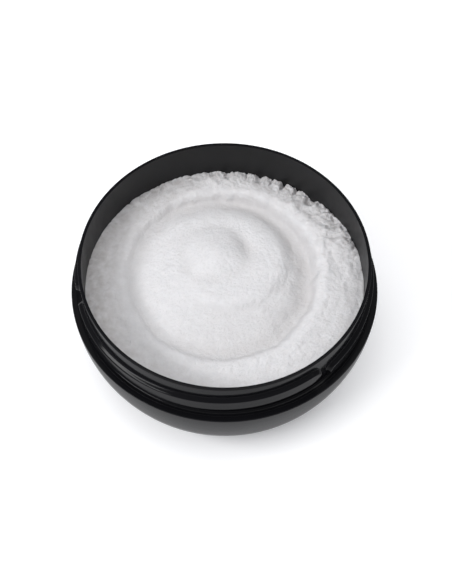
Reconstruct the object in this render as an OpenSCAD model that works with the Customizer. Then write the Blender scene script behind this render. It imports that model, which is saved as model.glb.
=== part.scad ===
// Round screw-neck tub of soft shaving soap, without its lid.
// A threaded inner cup snaps into a round-bottomed outer bowl and holds the soap.
// Millimetres. The origin is at the middle of the base, with +Z up through the mouth.

/* [Overall] */
// Height from the standing ring to the lip
total_h = 46.5; // [44:0.5:52]
// Diameter of the sharp edge round the shoulder, the widest line of the tub
widest_d = 103.6; // [102.4:0.2:104.4]
// How far below the lip the shoulder lies
neck_h = 15.2; // [14.6:0.1:16]

/* [Neck] */
// Outside diameter of the plain neck wall
neck_d = 96.5; // [96.1:0.1:96.7]
// Thickness of the neck wall and of the lip
neck_wall = 1.1; // [1:0.05:1.3]
// Radius of the blend between the neck and the shoulder
neck_fillet = 1; // [0.4:0.1:1.2]

/* [Thread] */
// Number of ridges, spaced evenly round the neck
thread_starts = 3; // [2:1:3]
// Diameter over the ridges
thread_d = 99.4; // [98.6:0.1:99.8]
// Rise of one ridge in a whole turn
thread_lead = 11; // [9:0.5:13]
// Height of a ridge where it leaves the wall
ridge_root = 6.8; // [5:0.2:7]
// Height of a ridge at its crest
ridge_crest = 4.4; // [2.4:0.2:4.6]
// Depth of the middle of each ridge below the lip
ridge_depth = 9; // [8:0.1:9.2]
// Angle that the full-height part of a ridge covers
ridge_angle = 102; // [80:1:104]

/* [Walls] */
// Thickness of the outer bowl
bowl_wall = 1.8; // [1.6:0.1:2]
// Thickness of the cup below the neck
cup_wall = 1.3; // [1.2:0.1:1.5]
// Air gap between the cup and the bowl
air_gap = 1.3; // [1:0.1:1.5]

/* [Soap] */
// Depth of the soap's edge below the lip
soap_depth = 15; // [13:0.5:18]
// Height of the bump left in the middle of the swirl
bump_h = 1.6; // [0:0.1:3]
// Depth of the groove drawn round the swirl
groove_depth = 1.8; // [0:0.1:3]
// Radius of that groove
groove_r = 30.5; // [26:0.5:33]

/* [Hidden] */
$fn = 96;

shell_black = [0.05, 0.05, 0.055];
soap_white = [0.92, 0.92, 0.93];
label_grey = [0.75, 0.75, 0.74];

shoulder_z = total_h - neck_h;
neck_r = neck_d / 2;
bore_r = neck_r - neck_wall;

// The bowl is part of a sphere whose middle lies just above the shoulder
sphere_rise = 0.75;
sphere_z = shoulder_z + sphere_rise;
sphere_r = sqrt(pow(widest_d / 2, 2) + pow(sphere_rise, 2));

// Standing ring and the recess that holds the label
foot_fillet = 3;
foot_in_r = 33;
recess_h = 0.8;
floor_t = 2;
bowl_corner = 5;

// The cup's flange sits in a rebate in the bowl's rim
rim_wall = 1.8;
rebate_r = widest_d / 2 - rim_wall;
flange_t = 2.1;
seat_z = shoulder_z - flange_t;
seam = 0.08;
flange_r = rebate_r - seam;
flange_chamfer = 0.1;

// Snap bead below the flange, in a groove in the bowl's collar
snap_r = neck_r + 0.55;
snap_h = 3.4;
snap_play = 0.06;
bead = 0.4;
bead_flat = 0.1;
collar_r = snap_r + snap_play;
collar_z = seat_z - snap_h;
bead_z = seat_z - snap_h * 0.55;
collar_slope = 2;

// Keys that stop the cup from turning in the bowl when a lid is screwed on
keys = 8;
key_w = 3;
key_h = 1;
key_play = 0.1;
key_gap = 0.3;
key_lap = 0.5;

cup_sphere_r = sphere_r - bowl_wall - air_gap;
under_gap = 0.8;
cup_bottom_z = recess_h + floor_t + under_gap;
cup_floor_z = cup_bottom_z + cup_wall;
cup_corner = 6;

// Heights at which the cup's rounded body turns into its straight neck, outside and inside
body_out_z = 22;
body_in_z = 24;
neck_in_z = 27;

// Ridges: rounding of the crest, depth sunk into the wall, and where the first one's middle lies
ridge_round = 0.5;
ridge_sunk = 0.7;
first_ridge = 251;

// A flat ring sector keeps closest to the helix when it is tilted a little more than the helix
tilt_gain = 1.12;

// The lower end slopes at this angle. The tail is cut by a cylinder set off the axis, which meets
// the crest tail_lead past the offset.
start_slope = 45;
tail_angle = 15;
tail_shift = 7;
tail_lead = 54;

edge_round = 0.18;
label_r = 31;
label_t = 0.12;
soap_play = 0.05;
swirl_steps = 46;

// Points along an arc round [x, y], from one angle to another
function arc(x, y, r, from, to, steps) =
    [for (i = [0:steps]) let (a = from + (to - from) * i / steps) [x + r * cos(a), y + r * sin(a)]];

// Outline from the axis along a floor at height z, round a corner of radius c and up the sphere r,
// as far as height top
function bowl_line(r, z, c, top) = let (
        cx = sqrt(pow(r - c, 2) - pow(sphere_z - z - c, 2)),
        lean = atan2(sphere_z - z - c, cx))
    concat(
        [[0, z]],
        arc(cx, z + c, c, -90, -lean, 10),
        arc(0, sphere_z, r, -lean, -asin((sphere_z - top) / r), 24));

// A smooth ring-shaped hill: its height h, the radius at of its top, and how wide it spreads
function hill(x, h, at, spread) = h * exp(-pow((x - at) / spread, 2));

// Height of the top of the soap above its edge, at a distance x from the axis: the bump in the
// middle, the groove, the disc between them and the bank outside the groove
function swirl(x) = hill(x, bump_h, 0, 7) - hill(x, groove_depth, groove_r, 4.5)
    + hill(x, 0.9, 19, 8) + hill(x, 0.5, 39, 5);

// The keys, each grown by play, for the cup's lugs and the bowl's notches
module key_ring(play) {
    for (i = [0:keys - 1])
        rotate([0, 0, 360 * (i + 0.5) / keys])
            translate([neck_r, -key_w / 2 - play, seat_z - key_h - play])
                cube([rebate_r - neck_r - key_gap + play, key_w + 2 * play, key_h + play + key_lap]);
}

module outer_bowl() {
    outside = bowl_line(sphere_r, 0, foot_fillet, shoulder_z - edge_round);
    inside_r = sphere_r - bowl_wall;
    inside = bowl_line(inside_r, recess_h + floor_t, bowl_corner, collar_z - collar_slope);
    color(shell_black)
        difference() {
            rotate_extrude()
                polygon(concat(
                    outside,
                    arc(widest_d / 2 - edge_round, shoulder_z - edge_round, edge_round, 0, 90, 4),
                    [[rebate_r, shoulder_z], [rebate_r, seat_z], [collar_r, seat_z],
                     [collar_r, bead_z + bead], [collar_r + bead, bead_z + bead_flat],
                     [collar_r + bead, bead_z - bead_flat], [collar_r, bead_z - bead],
                     [collar_r, collar_z]],
                    [for (i = [len(inside) - 1:-1:0]) inside[i]]));
            translate([0, 0, -1])
                cylinder(r = foot_in_r, h = 1 + recess_h);
            key_ring(key_play);
        }
}

// Cross-section of a thread ridge on the neck wall, with rounded crest corners
module ridge_section() {
    height = (thread_d - neck_d) / 2;
    flank = atan2(height, (ridge_root - ridge_crest) / 2);
    foot = ridge_root / 2 + ridge_sunk / tan(flank);
    corner = ridge_crest / 2 - ridge_round * tan(flank / 2);
    upper = arc(height - ridge_round, corner, ridge_round, 0, flank, 5);
    translate([neck_r, 0])
        polygon(concat(
            [[-ridge_sunk, -foot]],
            [for (i = [len(upper) - 1:-1:0]) [upper[i][0], -upper[i][1]]],
            upper,
            [[-ridge_sunk, foot]]));
}

// One ridge: a sloping lower end, a full-height stretch, and a tail that runs out into the wall.
// It is a ring sector tilted by the thread's rise, which follows the helix to within 0.2 mm.
module ridge() {
    first = -(ridge_angle + tail_angle) / 2;
    crest_r = thread_d / 2;
    cut = ridge_root;
    tail_r = sqrt(pow(crest_r, 2) + pow(tail_shift, 2) - 2 * crest_r * tail_shift * cos(tail_lead));
    rotate([atan2(thread_lead * tilt_gain, PI * thread_d), 0, 0])
        rotate([0, 0, first])
            difference() {
                intersection() {
                    rotate_extrude(angle = ridge_angle + tail_angle)
                        ridge_section();
                    rotate([0, 0, ridge_angle - tail_lead])
                        translate([tail_shift, 0, -ridge_root])
                            cylinder(r = tail_r, h = 2 * ridge_root);
                }
                translate([neck_r, 0, 0])
                    rotate([0, 0, start_slope])
                        translate([-cut / 3, -cut, -ridge_root])
                            cube([2 * cut, cut, 2 * ridge_root]);
            }
}

module threaded_cup() {
    inside = bowl_line(cup_sphere_r - cup_wall, cup_floor_z, cup_corner - cup_wall, body_in_z);
    outside = bowl_line(cup_sphere_r, cup_bottom_z, cup_corner, body_out_z);
    color(shell_black)
        difference() {
            union() {
                rotate_extrude()
                    polygon(concat(
                        outside,
                        [[neck_r, collar_z - 1], [snap_r, collar_z],
                         [snap_r, bead_z - bead], [snap_r + bead, bead_z - bead_flat],
                         [snap_r + bead, bead_z + bead_flat], [snap_r, bead_z + bead],
                         [snap_r, seat_z], [flange_r, seat_z],
                         [flange_r, shoulder_z - flange_chamfer], [flange_r - flange_chamfer, shoulder_z]],
                        arc(neck_r + neck_fillet, shoulder_z + neck_fillet, neck_fillet, -90, -180, 8),
                        arc(neck_r - edge_round, total_h - edge_round, edge_round, 0, 90, 4),
                        [[0, total_h]]));
                for (i = [0:thread_starts - 1])
                    rotate([0, 0, first_ridge + 360 * i / thread_starts])
                        translate([0, 0, total_h - ridge_depth])
                            ridge();
                key_ring(0);
            }
            rotate_extrude()
                polygon(concat(
                    inside,
                    [[bore_r, neck_in_z]],
                    arc(bore_r + edge_round, total_h - edge_round, edge_round, 180, 90, 4),
                    [[bore_r + edge_round, total_h + 1], [0, total_h + 1]]));
        }
}

module shaving_soap() {
    soap_r = bore_r - soap_play;
    soap_z = total_h - soap_depth;
    body = bowl_line(cup_sphere_r - cup_wall - soap_play, cup_floor_z, cup_corner - cup_wall, body_in_z);
    color(soap_white)
        rotate_extrude()
            polygon(concat(
                body,
                [[soap_r, neck_in_z]],
                [for (i = [swirl_steps:-1:0]) let (x = soap_r * i / swirl_steps) [x, soap_z + swirl(x)]]));
}

module base_label() {
    color(label_grey)
        translate([0, 0, recess_h - label_t])
            cylinder(r = label_r, h = label_t);
}

outer_bowl();
threaded_cup();
shaving_soap();
base_label();
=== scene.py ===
"""An open tub of soft swirled shaving soap on a pale studio floor.

Metres, in the CAD frame: the origin is at the middle of the base, +Z points out of the mouth,
and the camera looks along +Y and down. Lengths below are written in millimetres and scaled by MM.
"""

from math import cos, pi, radians, sin, sqrt

import bpy
import numpy as np
from mathutils import Matrix, Vector, noise


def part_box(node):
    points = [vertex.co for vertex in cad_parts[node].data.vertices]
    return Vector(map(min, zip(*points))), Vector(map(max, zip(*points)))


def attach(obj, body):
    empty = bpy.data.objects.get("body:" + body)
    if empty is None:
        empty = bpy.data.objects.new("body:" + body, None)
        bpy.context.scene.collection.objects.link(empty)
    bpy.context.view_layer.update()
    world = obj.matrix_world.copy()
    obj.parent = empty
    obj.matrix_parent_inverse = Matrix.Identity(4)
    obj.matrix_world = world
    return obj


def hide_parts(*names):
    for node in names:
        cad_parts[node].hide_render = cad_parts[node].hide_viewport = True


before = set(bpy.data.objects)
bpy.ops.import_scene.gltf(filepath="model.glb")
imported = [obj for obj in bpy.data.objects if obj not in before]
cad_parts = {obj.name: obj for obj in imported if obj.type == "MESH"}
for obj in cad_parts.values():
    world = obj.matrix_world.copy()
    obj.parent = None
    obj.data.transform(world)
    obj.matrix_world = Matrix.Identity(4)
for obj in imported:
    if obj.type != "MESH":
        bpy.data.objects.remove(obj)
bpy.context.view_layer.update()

MM = 0.001
ROOT = "root"

# ---------------------------------------------------------------- sizes, in millimetres
bowl_low, bowl_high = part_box("outer_bowl")
cup_low, cup_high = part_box("threaded_cup")
label_low, label_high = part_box("base_label")

LIP_Z = cup_high.z / MM
SHOULDER_Z = bowl_high.z / MM
WIDEST_R = bowl_high.x / MM
FLANGE_R = cup_high.x / MM
CUP_BOTTOM_Z = cup_low.z / MM
RECESS_H = label_high.z / MM
LABEL_R = label_high.x / MM
LABEL_T = (label_high.z - label_low.z) / MM

NECK_R = 48.25
NECK_WALL = 1.1
BORE_R = NECK_R - NECK_WALL
EDGE = 0.18

SPHERE_RISE = 0.75
SPHERE_Z = SHOULDER_Z + SPHERE_RISE
SPHERE_R = sqrt(WIDEST_R ** 2 + SPHERE_RISE ** 2)
BOWL_WALL = 1.8
AIR_GAP = 1.3
CUP_WALL = 1.3
CUP_R = SPHERE_R - BOWL_WALL - AIR_GAP
CUP_FLOOR_Z = CUP_BOTTOM_Z + CUP_WALL
CUP_CORNER = 6.0
BOWL_CORNER = 5.0
FOOT_IN_R = 33.0
FOOT_FILLET = 3.0
FLOOR_T = 2.0

# heights at which the cup's rounded body turns into its straight neck, outside and inside
BODY_OUT_Z = 22
BODY_IN_Z = 24
NECK_IN_Z = 27

# the cup's flange sits in a rebate in the bowl's rim
REBATE_R = 50.0
FLANGE_T = 2.1
FLANGE_CHAMFER = 0.1
SEAT_Z = SHOULDER_Z - FLANGE_T
SHOULDER_FILLET = 1.0

# snap bead below the flange, in a groove in the bowl's collar
SNAP_R = NECK_R + 0.55
SNAP_H = 3.4
SNAP_PLAY = 0.06
BEAD = 0.4
BEAD_FLAT = 0.1
BEAD_DEPTH = 1.87
BEAD_Z = SEAT_Z - BEAD_DEPTH
COLLAR_Z = SEAT_Z - SNAP_H
COLLAR_SLOPE = 2

# keys that stop the cup from turning; their outer ends lean in a little
KEYS = 8
KEY_H = 1.0
KEY_R = 49.7
KEY_PLAY = 0.1
KEY_LEAN = 0.04
# half the width of a key and of its notch, in degrees
KEY_HALF = 1.75
NOTCH_HALF = 1.9

# thread: three ridges, each rising to the right as seen from outside
STARTS = 3
LEAD = 11.0
# the middle of the front ridge, its length and the rounding of its two ends, in degrees
RIDGE_MID = 251.25
RIDGE_LENGTH = 117.5
START_ROUND = 3.4
END_ROUND = 5.7
# depth of that middle below the lip, half the ridge's height, how far it stands out, and its flank
RIDGE_DEPTH = 9.0
RIDGE_HALF = 3.4
RIDGE_OUT = 1.45
FLANK = 1.2
# rows of the neck's mesh below and above those that follow a ridge
ROWS_BELOW, ROWS_ABOVE = 6, 5

# the soap: its mean depth below the lip, and its radii in the neck and in the body of the cup
SOAP_DEPTH = 15.0
SOAP_R = BORE_R - 0.04
SOAP_BODY_R = CUP_R - CUP_WALL - 0.05

# the ring drawn in it by a finger: its middle, its radii across and along, and their mean
RING_X, RING_Y = -1.2, 3.8
RING_RX, RING_RY = 30.9, 31.7
RING_R = 31.3
# the middles of the inner stroke's arc and of the moat round the bump
STROKE_Y = 11.5
MOAT_X, MOAT_Y = -3.4, 11.8


# ---------------------------------------------------------------- outlines, as (radius, height)
def arc(x, z, r, start, end, steps):
    """Points along an arc round (x, z), from one angle in degrees to another."""
    turn = np.radians(np.linspace(start, end, steps + 1))
    return [(x + r * cos(t), z + r * sin(t)) for t in turn]


def bowl_line(r, z, corner, top, steps=30):
    """From the axis along a floor at height z, round a corner and up the sphere to height top."""
    cx = sqrt((r - corner) ** 2 - (SPHERE_Z - z - corner) ** 2)
    lean = np.degrees(np.arctan2(SPHERE_Z - z - corner, cx))
    high = np.degrees(np.arcsin((SPHERE_Z - top) / r))
    return (
        [(0, z)]
        + arc(cx, z + corner, corner, -90, -lean, 8)
        + arc(0, SPHERE_Z, r, -lean, -high, steps)[1:]
    )


def held(points, near=0.07, longest=6.0):
    """The outline with a point close to each end of its straight stretches, so shading stays true."""
    out = [points[0]]
    for a, b in zip(points, points[1:]):
        a, b = np.array(a, float), np.array(b, float)
        length = np.hypot(*(b - a))
        cuts = []
        if length > 8 * near:
            cuts = [near / length]
            cuts += list(np.linspace(0, 1, int(length / longest) + 2)[1:-1])
            cuts.append(1 - near / length)
        out += [tuple(a + (b - a) * c) for c in cuts] + [tuple(b)]
    return out


def smooth(low, high, value):
    """0 below low, 1 above high, and a smooth climb between them."""
    t = np.clip((value - low) / (high - low), 0, 1)
    return t * t * (3 - 2 * t)


# ---------------------------------------------------------------- mesh helpers
def new_piece(name, vertices, faces, smooth_angle=35):
    """An object from vertices in metres, smooth except where faces meet more sharply than the angle."""
    mesh = bpy.data.meshes.new(name)
    mesh.from_pydata([tuple(v) for v in vertices], [], faces)
    mesh.validate()
    for polygon in mesh.polygons:
        polygon.use_smooth = True
    mesh.set_sharp_from_angle(angle=radians(smooth_angle))
    piece = bpy.data.objects.new(name, mesh)
    bpy.context.scene.collection.objects.link(piece)
    return piece


def turned(name, radii, heights, angles, smooth_angle=35):
    """A closed solid of revolution. radii and heights are rows by columns; the end rows are on the axis."""
    turn = np.radians(angles)
    x = radii * np.cos(turn)
    y = radii * np.sin(turn)
    rings = np.stack([x, y, heights], -1)[1:-1] * MM
    rows, columns = rings.shape[:2]
    vertices = rings.reshape(-1, 3).tolist()
    vertices += [(0, 0, heights[0, 0] * MM), (0, 0, heights[-1, 0] * MM)]
    first, last = rows * columns, rows * columns + 1
    faces = []
    for i in range(rows - 1):
        for j in range(columns):
            k = (j + 1) % columns
            a, b = i * columns, (i + 1) * columns
            faces.append((a + j, a + k, b + k, b + j))
    top = (rows - 1) * columns
    for j in range(columns):
        k = (j + 1) % columns
        faces.append((first, k, j))
        faces.append((top + j, top + k, last))
    return new_piece(name, vertices, faces, smooth_angle)


def grid(outline, angles):
    """The outline's radii and heights, each repeated for every angle."""
    rows = np.array(outline)
    return np.repeat(rows[:, :1], len(angles), 1), np.repeat(rows[:, 1:], len(angles), 1)


def key_columns(half_width):
    """Angles at both sides of each key, and just outside them."""
    sides = [-half_width - 0.06, -half_width, half_width, half_width + 0.06]
    return [360 * (i + 0.5) / KEYS + s for i in range(KEYS) for s in sides]


def in_key(angles, half_width):
    """1 within a key and 0 elsewhere, for each angle."""
    step = 360 / KEYS
    from_middle = np.abs((angles % step) - step / 2)
    return (from_middle <= half_width + 0.01).astype(float)


# ---------------------------------------------------------------- outer bowl
def make_outer_bowl():
    """The round-bottomed bowl, with the rebate, snap groove and key notches in its rim."""
    inside_r = SPHERE_R - BOWL_WALL
    collar_r = SNAP_R + SNAP_PLAY
    outside = bowl_line(SPHERE_R, 0, FOOT_FILLET, SHOULDER_Z - EDGE, 44)[1:]
    outline = [(0, RECESS_H), (FOOT_IN_R, RECESS_H), (FOOT_IN_R, 0)]
    outline += outside[:-1]
    outline += arc(WIDEST_R - EDGE, SHOULDER_Z - EDGE, EDGE, 0, 90, 5)
    outline += [(REBATE_R, SHOULDER_Z), (REBATE_R, SEAT_Z)]
    outline = held(outline)
    notch_first = len(outline)
    outline += [(KEY_R + KEY_PLAY, SEAT_Z), (KEY_R + KEY_PLAY - KEY_LEAN, SEAT_Z), (collar_r, SEAT_Z)]
    outline += [(collar_r, BEAD_Z + BEAD), (collar_r + BEAD, BEAD_Z + BEAD_FLAT)]
    outline += [(collar_r + BEAD, BEAD_Z - BEAD_FLAT), (collar_r, BEAD_Z - BEAD), (collar_r, COLLAR_Z)]
    inside = bowl_line(inside_r, RECESS_H + FLOOR_T, BOWL_CORNER, COLLAR_Z - COLLAR_SLOPE, 16)
    outline += inside[::-1]
    angles = np.unique(np.round(np.concatenate([np.arange(0, 360, 0.9), key_columns(NOTCH_HALF)]), 4))
    radii, heights = grid(outline, angles)
    notch = in_key(angles, NOTCH_HALF) * (KEY_H + KEY_PLAY)
    heights[notch_first + 1] -= notch
    heights[notch_first + 2] -= notch
    return turned("outer_bowl_shell", radii, heights, angles)


# ---------------------------------------------------------------- threaded cup
def ridge_middle(angles):
    """For each angle: degrees past the middle of its ridge, and that ridge's middle height."""
    period = 360 / STARTS
    along = (angles - RIDGE_MID + period / 2) % period - period / 2
    gap = period - RIDGE_LENGTH
    climb = LEAD / 360 * along
    past = np.clip((np.abs(along) - RIDGE_LENGTH / 2) / (gap / 2), 0, 1)
    climb -= np.sign(along) * past * LEAD / 360 * period / 2
    return along, LIP_Z - RIDGE_DEPTH + climb


def ridge_height(along, across):
    """How far a ridge stands out of the wall, by degrees along it and millimetres across it."""
    per_degree = radians(1) * NECK_R
    half = RIDGE_LENGTH / 2
    round_length = np.where(along > 0, END_ROUND, START_ROUND) * per_degree
    beyond = np.maximum(np.abs(along) * per_degree - (half * per_degree - round_length), 0)
    u, v = beyond / round_length, across / RIDGE_HALF
    size = np.sqrt(u * u + v * v) + 1e-9
    slope = np.sqrt((u / round_length) ** 2 + (v / RIDGE_HALF) ** 2) / size + 1e-9
    inside = np.clip((1 - size) / slope / FLANK, 0, 1)
    return RIDGE_OUT * (0.5 - 0.5 * np.cos(pi * inside))


def ridge_rows():
    """Distances across a ridge for the rows that follow it, closer together on its flanks."""
    near = np.concatenate([np.arange(0, 2.1, 0.6), np.arange(2.1, 3.6, 0.13), [3.8]])
    return np.unique(np.round(np.concatenate([-near, near]), 3))


def cup_outline(neck_rows):
    """The cup's outline, and the rows at which its keys, its neck and its inner wall begin."""
    outline = held(
        bowl_line(CUP_R, CUP_BOTTOM_Z, CUP_CORNER, BODY_OUT_Z, 12)
        + [(NECK_R, COLLAR_Z - 1), (SNAP_R, COLLAR_Z), (SNAP_R, BEAD_Z - BEAD)]
        + [(SNAP_R + BEAD, BEAD_Z - BEAD_FLAT), (SNAP_R + BEAD, BEAD_Z + BEAD_FLAT)]
        + [(SNAP_R, BEAD_Z + BEAD)]
    )
    lug = len(outline)
    outline += [(SNAP_R, SEAT_Z), (KEY_R - KEY_LEAN, SEAT_Z), (KEY_R, SEAT_Z), (FLANGE_R, SEAT_Z)]
    outline += held(
        [(FLANGE_R, SEAT_Z + 0.02), (FLANGE_R, SHOULDER_Z - FLANGE_CHAMFER)]
        + arc(FLANGE_R - FLANGE_CHAMFER, SHOULDER_Z - FLANGE_CHAMFER, FLANGE_CHAMFER, 0, 90, 3)[1:]
        + arc(NECK_R + SHOULDER_FILLET, SHOULDER_Z + SHOULDER_FILLET, SHOULDER_FILLET, -90, -180, 12)
    )
    neck = len(outline)
    # lay_neck gives these rows their heights
    outline += [(NECK_R, 0)] * neck_rows
    outline += arc(NECK_R - EDGE, LIP_Z - EDGE, EDGE, 0, 90, 5)
    outline += held([(NECK_R - EDGE - 0.01, LIP_Z), (BORE_R + EDGE + 0.01, LIP_Z)])
    outline += arc(BORE_R + EDGE, LIP_Z - EDGE, EDGE, 90, 180, 5)
    wall = len(outline)
    inside = bowl_line(CUP_R - CUP_WALL, CUP_FLOOR_Z, CUP_CORNER - CUP_WALL, BODY_IN_Z, 12)
    outline += held([(BORE_R, LIP_Z - EDGE - 0.02), (BORE_R, NECK_IN_Z)], longest=2.0)
    outline += inside[::-1]
    return outline, lug, neck, wall


def cup_angles():
    """Columns 1.2 degrees apart, and closer together round the ends of the ridges and at the keys."""
    coarse = np.arange(0, 360, 1.2)
    ends = np.arange(-7.0, 6.0, 0.25) + RIDGE_MID + RIDGE_LENGTH / 2 + 1.2
    fine = np.concatenate([(ends + 360 * i / STARTS) % 360 for i in range(STARTS)])
    near_fine = np.min(np.abs((coarse[:, None] - fine[None, :] + 180) % 360 - 180), 1) < 0.3
    angles = np.concatenate([coarse[~near_fine], fine, key_columns(KEY_HALF)])
    return np.unique(np.round(angles, 3))


def lay_neck(radii, heights, angles, neck, across):
    """Lays the neck's rows along the ridges, and makes the ridges stand out of the wall."""
    low_z, high_z = SHOULDER_Z + SHOULDER_FILLET, LIP_Z - EDGE
    along, middle = ridge_middle(angles)
    first = neck + ROWS_BELOW
    for i, s in enumerate(across):
        # a ridge's lower end comes close to the shoulder, and its rows must stay above the fillet
        row = np.maximum(middle + s, low_z + 0.04 + 0.02 * i)
        heights[first + i] = row
        radii[first + i] += ridge_height(along, row - middle)
    for i in range(ROWS_BELOW):
        share = (i + 0.6) / (ROWS_BELOW + 0.2)
        heights[neck + i] = low_z + (heights[first] - low_z) * share
    first_above = first + len(across)
    for i in range(ROWS_ABOVE):
        share = (i + 1) / (ROWS_ABOVE + 0.6)
        heights[first_above + i] = heights[first_above - 1] * (1 - share) + high_z * share


def make_threaded_cup():
    """The cup: body, snap bead, keys, flange, neck with its ridges, lip and plain bore."""
    across = ridge_rows()
    outline, lug, neck, wall = cup_outline(ROWS_BELOW + len(across) + ROWS_ABOVE)
    angles = cup_angles()
    radii, heights = grid(outline, angles)
    lay_neck(radii, heights, angles, neck, across)
    depth = in_key(angles, KEY_HALF) * KEY_H
    heights[lug] -= depth
    heights[lug + 1] -= depth
    piece = turned("threaded_cup_shell", radii, heights, angles)

    # satin from the inner edge of the lip inwards, but for the floor's middle, under the soap
    satin_from = (wall - 3) * len(angles)
    satin_to = (len(outline) - 3) * len(angles)
    for index, polygon in enumerate(piece.data.polygons):
        polygon.material_index = 1 if satin_from <= index < satin_to else 0
    return piece


# ---------------------------------------------------------------- soap
def blob(x, y, cx, cy, rx, ry=None, turn=0.0):
    """A smooth hill of height 1 with its top at (cx, cy)."""
    ry = rx if ry is None else ry
    c, s = cos(radians(turn)), sin(radians(turn))
    u = ((x - cx) * c + (y - cy) * s) / rx
    v = (-(x - cx) * s + (y - cy) * c) / ry
    return np.exp(-(u * u + v * v))


def rough(x, y, size, seed, octaves=3):
    """Fractal noise of the given feature size, between about -1 and 1."""
    points = np.stack([x / size, y / size, np.full_like(x, seed)], -1).reshape(-1, 3)
    values = [noise.fractal(p, 0.9, 2.1, octaves) for p in points.tolist()]
    return np.array(values).reshape(x.shape)


def stroke(angle, start, end, fade):
    """1 along a stroke from one angle to another, in degrees, fading out at both ends."""
    return smooth(start - fade, start, angle) * (1 - smooth(end, end + fade, angle))


def from_ring(x, y):
    """Millimetres outside the finger's ring, and 1 at its back right to -1 at its front left."""
    gx, gy = x - RING_X, y - RING_Y
    turn = np.degrees(np.arctan2(gy, gx)) % 360
    off = (np.hypot(gx / RING_RX, gy / RING_RY) - 1) * RING_R
    # the ring's radius wanders
    off -= 0.7 * rough(np.cos(np.radians(turn)) * 20, np.sin(np.radians(turn)) * 20, 7.0, 4.0, 2)
    off -= 0.35 * rough(x, y, 3.5, 5.0, 2)
    return off, np.cos(np.radians(turn - 35))


def ring_relief(off, from_right, groove):
    """The groove of the ring, the bank outside it, and the disc inside it."""
    h = -(1.9 + 1.2 * np.clip(from_right, -0.6, 1)) * groove
    h += (0.35 + 0.3 * np.clip(from_right, 0, 1)) * np.exp(-((off - 5.0) / 3.4) ** 2)
    # the disc is a crown, highest in its middle
    h += 1.5 * (1 - smooth(6, 31, off + RING_R))
    return h


def add_stroke(h, x, y, off, step_r, along):
    """Adds the inner stroke: a step down outside its arc, from the front round the right to the back."""
    outside = smooth(18.8, 24.6, step_r - 0.3 * rough(x, y, 5.0, 6.0, 2))
    h -= 1.1 * along * outside * (1 - smooth(-4, 3, off))
    h += 0.2 * along * np.exp(-((step_r - 19.0) / 3.0) ** 2)
    h += 0.15 * along * np.exp(-((step_r - 25.2) / 1.5) ** 2)


def add_bump(h, x, y, off, moat):
    """Adds the bump behind the middle, its moat, the dip on its right, and the spatula's faint marks."""
    h += 2.4 * blob(x, y, -4.0, 11.2, 7.2)
    h -= 0.35 * np.exp(-((moat - 11.4) / 2.1) ** 2)
    h -= 1.1 * blob(x, y, 7.2, 15.5, 3.4, 6.5, 20)
    marks = np.sin(off * 2.6 + 3.2 * rough(x, y, 9, 8.0, 3))
    h += 0.035 * marks * (1 - smooth(-4, 0, off)) * smooth(-0.4, 0.3, rough(x, y, 12, 9.0, 2))


def add_band(h, x, y, r, theta, band, back):
    """Adds what lies outside the ring: lumps, highest at the right, and strokes along the wall."""
    right = blob(x, y, 38, 17, 15, 15)
    h += band * (0.30 + 0.30 * back + 0.7 * right) * rough(x, y, 7.5, 12.0, 2)
    h += band * right * 1.5
    h += band * (0.13 + 0.18 * back + 0.30 * right) * rough(x, y, 2.8, 16.0, 3)
    # two dents
    h -= 0.8 * blob(x, y, 36.5, 8.5, 2.4, 4.8, 10)
    h -= 1.0 * blob(x, y, 27.5, 32.0, 1.5, 4.0, -45)
    # the strokes run along the wall at the front right
    lower = stroke(theta, 295, 352, 14)
    h += 0.05 * lower * band * np.sin(r * 1.9 + 1.5 * rough(x, y, 8, 18.0, 2))


def add_edge(h, x, y, r, theta, back):
    """Adds the ragged edge, where the soap was pulled off the wall."""
    crumbs = rough(x, y, 1.3, 21.0, 3)
    h += smooth(43.0, 46.0, r) * (0.22 + 0.45 * back) * crumbs
    # angle, half width in degrees and depth of each notch in it
    notches = [(49, 2.2, 1.9), (57, 0.6, 1.1), (63.5, 0.8, 2.4), (69, 0.4, 0.9), (74.5, 1.4, 1.7)]
    notches += [(80.5, 0.4, 0.8), (89, 1.3, 1.3), (120, 0.5, 0.5), (136, 0.5, 0.6), (148, 0.5, 0.6)]
    notches += [(168, 0.6, 0.5)]
    pulled = np.zeros_like(x)
    for middle, width, depth in notches:
        cut = np.exp(-(np.abs(theta - middle) / width) ** 3)
        pulled = np.maximum(pulled, depth * cut * smooth(44.0 - 0.5 * depth, 45.8, r + 0.5 * crumbs))
    h -= pulled


def painted_wall_shade(x, y, r, theta, back):
    """Painted shadow of the wall on the soap against it, most of all on the left, and mottled."""
    # the left wall shades the soap below it from the key light on the left, so the painted shadow is
    # strongest there
    left = np.clip(-np.cos(np.radians(theta - 10)), 0, 1)
    wall_shade = smooth(31, 46, r) * (0.14 + 0.55 * left + 0.22 * back)
    return wall_shade * (0.9 + 0.7 * rough(x, y, 2.4, 40.0, 4))


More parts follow.
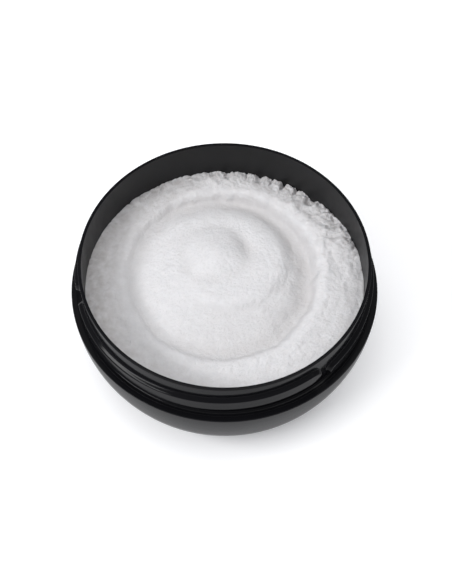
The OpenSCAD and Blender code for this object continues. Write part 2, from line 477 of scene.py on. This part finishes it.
def soap_relief(x, y):
    """The soap's height above its mean level, and how much painted shade it gets there, from 0 to 1."""
    r = np.hypot(x, y)
    theta = np.degrees(np.arctan2(y, x)) % 360
    off, from_right = from_ring(x, y)
    # the ring's groove is steep outside and wide inside, widest at the back right
    wide_in = 4.2 + 2.2 * np.clip(from_right, 0, 1)
    groove = np.exp(-(np.where(off > 0, off / 1.7, off / wide_in)) ** 2)
    # distance from the middle of the inner stroke's arc, and how strong the stroke is there
    step_r = np.hypot(x, y - STROKE_Y)
    along = stroke(np.degrees(np.arctan2(y - STROKE_Y, x)), -95, 70, 35)
    moat = np.hypot(x - MOAT_X, y - MOAT_Y)
    band = smooth(1.5, 6, off)
    back = stroke(theta, 25, 120, 20)

    h = ring_relief(off, from_right, groove)
    add_stroke(h, x, y, off, step_r, along)
    add_bump(h, x, y, off, moat)
    add_band(h, x, y, r, theta, band, back)
    add_edge(h, x, y, r, theta, back)
    # grains everywhere, a little higher in the band
    h += (0.07 + 0.03 * band) * rough(x, y, 1.2, 30.0, 2)

    # painted shade, darker and warmer, in the hollows (the ring's groove, the moat, the dip right of the
    # bump, the foot of the stroke's step) and against the wall
    painted_shade = 0.42 * groove * np.clip(0.85 + 0.3 * from_right, 0.6, 1)
    painted_shade += 0.10 * np.exp(-((moat - 11.4) / 2.2) ** 2) + 0.22 * blob(x, y, 7.0, 15.0, 3.5, 5.5, 20)
    painted_shade += 0.16 * along * smooth(20.5, 22.5, step_r) * (1 - smooth(-3, 1, off))
    painted_shade += painted_wall_shade(x, y, r, theta, back)
    return h, np.clip(painted_shade, 0, 1)


def disc_grid(cells):
    """The points of a square grid, mapped to a disc of the soap's radius."""
    a = np.linspace(-1, 1, cells + 1)
    u, v = np.meshgrid(a, a)
    wide = np.abs(u) >= np.abs(v)
    radius = np.where(wide, u, v)
    ratio = np.where(wide, v / np.where(u == 0, 1, u), u / np.where(v == 0, 1, v))
    turn = np.where(wide, pi / 4 * ratio, pi / 2 - pi / 4 * ratio)
    return radius * np.cos(turn) * SOAP_R, radius * np.sin(turn) * SOAP_R


def make_soap(cells=250):
    """The swirled top on a disc grid, and turned rows for what lies in the cup."""
    x, y = disc_grid(cells)
    relief, painted_shade = soap_relief(x, y)
    z = LIP_Z - SOAP_DEPTH + relief
    vertices = np.stack([x, y, z], -1).reshape(-1, 3)
    n = cells + 1
    index = np.arange(n * n).reshape(n, n)
    faces = np.stack([index[:-1, :-1], index[:-1, 1:], index[1:, 1:], index[1:, :-1]], -1)
    faces = faces.reshape(-1, 4).tolist()
    rim = np.concatenate([index[0, :-1], index[:-1, -1], index[-1, :0:-1], index[:0:-1, 0]])
    rim_turn = np.arctan2(vertices[rim, 1], vertices[rim, 0])
    body = bowl_line(SOAP_BODY_R, CUP_FLOOR_Z, CUP_CORNER - CUP_WALL, BODY_IN_Z, 10)
    rows = [(SOAP_R, NECK_IN_Z)] + body[::-1][:-1]
    start = len(vertices)
    extra = [[(r * cos(t), r * sin(t), z) for t in rim_turn] for r, z in rows]
    vertices = np.concatenate([vertices, np.array(extra).reshape(-1, 3), [(0, 0, CUP_FLOOR_Z)]])
    count = len(rim)
    rings = [list(rim)] + [list(range(start + i * count, start + (i + 1) * count)) for i in range(len(rows))]
    for upper, lower in zip(rings, rings[1:]):
        for j in range(count):
            k = (j + 1) % count
            faces.append((int(upper[j]), int(lower[j]), int(lower[k]), int(upper[k])))
    last = rings[-1]
    pole = len(vertices) - 1
    for j in range(count):
        faces.append((int(last[j]), pole, int(last[(j + 1) % count])))
    piece = new_piece("shaving_soap_swirl", vertices * MM, faces, 70)
    # the painted shade is stored on the mesh as a point attribute
    shade = piece.data.attributes.new("painted_shade", "FLOAT", "POINT")
    values = np.zeros(len(piece.data.vertices), np.float32)
    values[: painted_shade.size] = painted_shade.ravel()
    shade.data.foreach_set("value", values)
    return piece


# ---------------------------------------------------------------- label
def make_label():
    """The film disc under the base, with a rounded lower edge."""
    top, low = RECESS_H - 0.005, RECESS_H - LABEL_T
    outline = [(0, low), (LABEL_R - 0.06, low)]
    outline += arc(LABEL_R - 0.05, low + 0.05, 0.05, -90, 0, 3)[1:]
    outline += [(LABEL_R, top), (0, top)]
    outline = held(outline, 0.03, 4.0)
    angles = np.arange(0, 360, 2.0)
    radii, heights = grid(outline, angles)
    return turned("base_label_film", radii, heights, angles)


# ---------------------------------------------------------------- materials
def material(name):
    """A new material, with its nodes, its links and its shader."""
    made = bpy.data.materials.new(name)
    made.use_nodes = True
    nodes, links = made.node_tree.nodes, made.node_tree.links
    return made, nodes, links, nodes["Principled BSDF"]


def object_noise(nodes, links, size_mm, detail=3.0, rough_share=0.5, stretch=(1, 1, 1)):
    """Noise in object space with features of about size_mm."""
    where = nodes.new("ShaderNodeTexCoord")
    scale = nodes.new("ShaderNodeMapping")
    scale.inputs["Scale"].default_value = [s / (size_mm * MM) for s in stretch]
    texture = nodes.new("ShaderNodeTexNoise")
    texture.inputs["Scale"].default_value = 1.0
    texture.inputs["Detail"].default_value = detail
    texture.inputs["Roughness"].default_value = rough_share
    links.new(where.outputs["Object"], scale.inputs["Vector"])
    links.new(scale.outputs["Vector"], texture.inputs["Vector"])
    return texture.outputs["Fac"]


def remap(nodes, links, value, low, high, from_low=0.3, from_high=0.7):
    """Maps from_low to from_high onto low to high, clamped."""
    made = nodes.new("ShaderNodeMapRange")
    made.inputs["From Min"].default_value = from_low
    made.inputs["From Max"].default_value = from_high
    made.inputs["To Min"].default_value = low
    made.inputs["To Max"].default_value = high
    links.new(value, made.inputs["Value"])
    return made.outputs["Result"]


def bump(nodes, links, height, distance_mm, strength, onto=None):
    """A bump of the given depth, on top of another normal if one is given."""
    made = nodes.new("ShaderNodeBump")
    made.inputs["Distance"].default_value = distance_mm * MM
    made.inputs["Strength"].default_value = strength
    links.new(height, made.inputs["Height"])
    if onto is not None:
        links.new(onto, made.inputs["Normal"])
    return made.outputs["Normal"]


# how much of its specular level the black plastic keeps where it is seen at a grazing angle
GRAZING_SHARE = 0.06


def gloss_black(name, colour, specular, rough_low, rough_high):
    """Polished black moulding: a faint haze that varies, and a slight waviness from the mould."""
    made, nodes, links, shader = material(name)
    shader.inputs["Base Color"].default_value = (*colour, 1)
    shader.inputs["IOR"].default_value = 1.5
    slant = nodes.new("ShaderNodeLayerWeight")
    slant.inputs["Blend"].default_value = 0.5
    level = remap(nodes, links, slant.outputs["Facing"], specular, specular * GRAZING_SHARE, 0.35, 0.85)
    links.new(level, shader.inputs["Specular IOR Level"])
    haze = object_noise(nodes, links, 9, 4, 0.6)
    links.new(remap(nodes, links, haze, rough_low, rough_high), shader.inputs["Roughness"])
    wave = object_noise(nodes, links, 14, 1)
    links.new(bump(nodes, links, wave, 0.01, 0.15), shader.inputs["Normal"])
    return made


def satin_black(name):
    """The inside of the neck: fine satin, with faint smears of soap film."""
    made, nodes, links, shader = material(name)
    smear = object_noise(nodes, links, 5, 5, 0.6, (1, 1, 0.5))
    ramp = nodes.new("ShaderNodeValToRGB")
    ramp.color_ramp.elements[0].position = 0.35
    ramp.color_ramp.elements[0].color = (0.007, 0.007, 0.0075, 1)
    ramp.color_ramp.elements[1].position = 0.75
    ramp.color_ramp.elements[1].color = (0.012, 0.012, 0.013, 1)
    shader.inputs["Specular IOR Level"].default_value = 0.2
    links.new(smear, ramp.inputs["Fac"])
    links.new(ramp.outputs["Color"], shader.inputs["Base Color"])
    links.new(remap(nodes, links, smear, 0.34, 0.46), shader.inputs["Roughness"])
    grain = object_noise(nodes, links, 0.35, 3)
    links.new(bump(nodes, links, grain, 0.02, 0.25), shader.inputs["Normal"])
    return made


def soap_material():
    """Moist white soap: soft, with painted shade, slightly warm, in its hollows and against the wall, a
    frosted grain and tiny bubbles.
    """
    made, nodes, links, shader = material("soap")
    tint = object_noise(nodes, links, 4, 6, 0.75)
    ramp = nodes.new("ShaderNodeValToRGB")
    ramp.color_ramp.elements[0].position = 0.3
    ramp.color_ramp.elements[0].color = (0.59, 0.585, 0.60, 1)
    ramp.color_ramp.elements[1].position = 0.7
    ramp.color_ramp.elements[1].color = (0.67, 0.665, 0.68, 1)
    links.new(tint, ramp.inputs["Fac"])
    # the painted shade attribute darkens and warms the colour in the hollows and against the wall
    painted_shade = nodes.new("ShaderNodeAttribute")
    painted_shade.attribute_name = "painted_shade"
    # the mix's inputs 6 and 7 are its two colours, and its output 2 is the mixed one
    warm_shade = nodes.new("ShaderNodeMix")
    warm_shade.data_type = "RGBA"
    warm_shade.inputs[7].default_value = (0.40, 0.382, 0.378, 1)
    links.new(painted_shade.outputs["Fac"], warm_shade.inputs[0])
    links.new(ramp.outputs["Color"], warm_shade.inputs[6])
    links.new(warm_shade.outputs[2], shader.inputs["Base Color"])
    wet = object_noise(nodes, links, 2.2, 4, 0.6)
    links.new(remap(nodes, links, wet, 0.32, 0.6), shader.inputs["Roughness"])
    shader.inputs["Subsurface Weight"].default_value = 0.35
    shader.inputs["Subsurface Radius"].default_value = (1.0, 0.9, 0.85)
    shader.inputs["Subsurface Scale"].default_value = 1.2 * MM
    grain = object_noise(nodes, links, 1.1, 5, 0.7)
    normal = bump(nodes, links, grain, 0.55, 0.9)
    bubbles = nodes.new("ShaderNodeTexVoronoi")
    where = nodes.new("ShaderNodeTexCoord")
    links.new(where.outputs["Object"], bubbles.inputs["Vector"])
    bubbles.inputs["Scale"].default_value = 1 / (1.6 * MM)
    pits = remap(nodes, links, bubbles.outputs["Distance"], 0.0, 1.0, 0.08, 0.22)
    normal = bump(nodes, links, pits, 0.05, 0.35, normal)
    links.new(normal, shader.inputs["Normal"])
    return made


def label_material():
    """Matt film with a fine grain and a plain printed ring near its edge."""
    made, nodes, links, shader = material("label_film")
    where = nodes.new("ShaderNodeTexCoord")
    split = nodes.new("ShaderNodeSeparateXYZ")
    links.new(where.outputs["Object"], split.inputs["Vector"])
    flat = nodes.new("ShaderNodeCombineXYZ")
    links.new(split.outputs["X"], flat.inputs["X"])
    links.new(split.outputs["Y"], flat.inputs["Y"])
    length = nodes.new("ShaderNodeVectorMath")
    length.operation = "LENGTH"
    links.new(flat.outputs["Vector"], length.inputs[0])
    ramp = nodes.new("ShaderNodeValToRGB")
    ramp.color_ramp.interpolation = "CONSTANT"
    ramp.color_ramp.elements[0].color = (0.70, 0.70, 0.69, 1)
    # the ramp spans the distance from the middle to just past the edge
    reach, inset, line_width = LABEL_R + 1, 2.2, 0.014
    line = (LABEL_R - inset) / reach
    for position, value in ((line, 0.25), (line + line_width, 0.70)):
        element = ramp.color_ramp.elements.new(position)
        element.color = (value, value, value * 0.985, 1)
    ramp.color_ramp.elements[-1].color = (0.70, 0.70, 0.69, 1)
    scaled = remap(nodes, links, length.outputs["Value"], 0, 1, 0, reach * MM)
    links.new(scaled, ramp.inputs["Fac"])
    links.new(ramp.outputs["Color"], shader.inputs["Base Color"])
    grain = object_noise(nodes, links, 0.3, 3)
    links.new(remap(nodes, links, grain, 0.5, 0.62), shader.inputs["Roughness"])
    links.new(bump(nodes, links, grain, 0.01, 0.3), shader.inputs["Normal"])
    return made


# ---------------------------------------------------------------- the object
def place(piece, node_name, materials):
    """Gives a piece its materials and its body, and hides the CAD node that it takes the place of."""
    for m in materials:
        piece.data.materials.append(m)
    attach(piece, ROOT)
    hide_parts(node_name)


bowl_gloss = gloss_black("bowl_gloss", (0.005, 0.005, 0.006), 0.14, 0.10, 0.16)
cup_gloss = gloss_black("cup_gloss", (0.005, 0.005, 0.006), 0.08, 0.10, 0.16)
place(make_outer_bowl(), "outer_bowl", [bowl_gloss])
place(make_threaded_cup(), "threaded_cup", [cup_gloss, satin_black("cup_satin")])
place(make_soap(), "shaving_soap", [soap_material()])
place(make_label(), "base_label", [label_material()])


# ---------------------------------------------------------------- floor, light and camera
# name, direction it comes from as azimuth and elevation, distance, width, height and radiance
SOFTBOXES = [
    ("key_left", 206, 38, 0.55, 0.38, 0.10, 18.0),
    ("fill_right", 0, 60, 0.9, 0.6, 0.4, 1.8),
    ("top_back", 90, 78, 1.0, 0.9, 0.5, 1.2),
    ("top_front", -90, 86, 1.1, 1.0, 0.8, 2.0),
]


def make_floor():
    """A plain white floor that gives off a little light, more of it further out."""
    half = 3.0
    near, far = 0.2, 1.2
    dim, bright = 0.2, 0.75
    corners = [(-half, -half, 0), (half, -half, 0), (half, half, 0), (-half, half, 0)]
    floor = new_piece("floor", corners, [(0, 1, 2, 3)])
    made, nodes, links, shader = material("floor_white")
    tone = object_noise(nodes, links, 60, 2)
    links.new(remap(nodes, links, tone, 0.5, 0.6), shader.inputs["Roughness"])
    shader.inputs["Base Color"].default_value = (0.9, 0.9, 0.91, 1)
    shader.inputs["Specular IOR Level"].default_value = 0.1
    shader.inputs["Emission Color"].default_value = (0.96, 0.97, 1.0, 1)
    where = nodes.new("ShaderNodeTexCoord")
    away = nodes.new("ShaderNodeVectorMath")
    away.operation = "LENGTH"
    links.new(where.outputs["Object"], away.inputs[0])
    glow = remap(nodes, links, away.outputs["Value"], dim, bright, near, far)
    links.new(glow, shader.inputs["Emission Strength"])
    floor.data.materials.append(made)


def softbox(name, azimuth, elevation, distance, width, height, radiance):
    """A rectangular light that faces the tub, by the direction it comes from."""
    a, e = radians(azimuth), radians(elevation)
    toward = Vector((cos(a) * cos(e), sin(a) * cos(e), sin(e)))
    lamp = bpy.data.lights.new(name, "AREA")
    lamp.shape = "RECTANGLE"
    lamp.size, lamp.size_y = width, height
    lamp.energy = radiance * pi * width * height
    held_up = bpy.data.objects.new(name, lamp)
    held_up.location = toward * distance + Vector((0, 0, LIP_Z * MM))
    held_up.rotation_euler = toward.to_track_quat("Z", "Y").to_euler()
    bpy.context.scene.collection.objects.link(held_up)


def make_world():
    """An even studio surround. The camera sees it white, and the tub is lit by it more dimly."""
    world = bpy.data.worlds.new("studio")
    bpy.context.scene.world = world
    world.use_nodes = True
    nodes, links = world.node_tree.nodes, world.node_tree.links
    background = nodes["Background"]
    background.inputs["Color"].default_value = (0.97, 0.98, 1.0, 1)
    background.inputs["Strength"].default_value = 0.38
    seen = nodes.new("ShaderNodeBackground")
    seen.inputs["Color"].default_value = (1, 1, 1, 1)
    seen.inputs["Strength"].default_value = 1.1
    path = nodes.new("ShaderNodeLightPath")
    mix = nodes.new("ShaderNodeMixShader")
    links.new(path.outputs["Is Camera Ray"], mix.inputs["Fac"])
    links.new(background.outputs["Background"], mix.inputs[1])
    links.new(seen.outputs["Background"], mix.inputs[2])
    links.new(mix.outputs["Shader"], nodes["World Output"].inputs["Surface"])


def make_camera():
    """Looks down at 58.6 degrees along +Y, 0.396 m from the middle of the mouth."""
    elevation, roll = radians(58.604), radians(0.4026)
    distance = 0.39600
    lens, sensor = 74.34, 36.0
    shift_right, shift_up = -0.000433, 0.010898
    forward = Vector((0, cos(elevation), -sin(elevation)))
    right = Vector((1, 0, 0))
    up = right.cross(forward)
    rolled_right = right * cos(roll) + up * sin(roll)
    rolled_up = up * cos(roll) - right * sin(roll)
    mouth = Vector((0, 0, LIP_Z * MM))
    data = bpy.data.cameras.new("camera")
    data.lens = lens
    data.sensor_width = sensor
    camera = bpy.data.objects.new("camera", data)
    turn = Matrix((rolled_right, rolled_up, -forward)).transposed()
    camera.matrix_world = Matrix.Translation(
        mouth - forward * distance - rolled_right * shift_right - rolled_up * shift_up
    ) @ turn.to_4x4()
    bpy.context.scene.collection.objects.link(camera)
    bpy.context.scene.camera = camera


make_floor()
make_world()
for softbox_values in SOFTBOXES:
    softbox(*softbox_values)
make_camera()
bpy.context.scene.view_settings.view_transform = "Standard"
